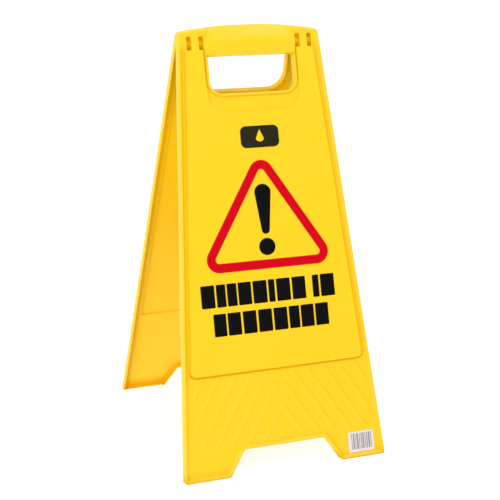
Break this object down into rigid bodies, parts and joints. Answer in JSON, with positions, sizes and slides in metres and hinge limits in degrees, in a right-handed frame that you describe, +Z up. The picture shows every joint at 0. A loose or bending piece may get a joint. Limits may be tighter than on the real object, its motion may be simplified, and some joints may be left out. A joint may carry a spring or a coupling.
{
  "type": "folding wet floor warning sign",
  "caption": "Folding A-frame floor warning sign in yellow moulded plastic with carrying bar, hand opening, trapezoid feet and printed caution triangle.",
  "frame": {"origin": "on the floor, midway between the feet of the open sign, under the hinge axis", "axes": "+Z up, +X along the hinge axis towards the front panel's right foot with the barcode sticker, -Y out of the front panel"},
  "size_m": [0.301, 0.357, 0.5988],
  "materials": {
    "yellow_plastic": "fine satin moulded polypropylene, bright warm yellow",
    "pin_plastic": "plain moulded yellow",
    "red_print": "opaque screen print, signal red",
    "black_print": "opaque screen print, black",
    "badge_print": "opaque screen print, olive black",
    "sticker_paper": "white coated paper",
    "grey_print": "thermal print, dark grey"
  },
  "bodies": {
    "front": {"front_panel": "yellow_plastic", "front_warning_triangle": "red_print", "front_exclamation_mark": "black_print", "front_caption_blocks": "black_print", "front_badge": "badge_print", "barcode_sticker": "sticker_paper", "barcode_bars": "grey_print"},
    "rear": {"rear_panel": "yellow_plastic", "hinge_pin_right": "pin_plastic", "hinge_pin_left": "pin_plastic", "rear_warning_triangle": "red_print", "rear_exclamation_mark": "black_print", "rear_caption_blocks": "black_print", "rear_badge": "badge_print"}
  },
  "joints": [
    {"name": "fold", "type": "hinge", "parent": "front", "child": "rear", "pos_m": [0, 0, 0.57379], "axis": [-1, 0, 0], "range_deg": [0, 32.25]}
  ]
}
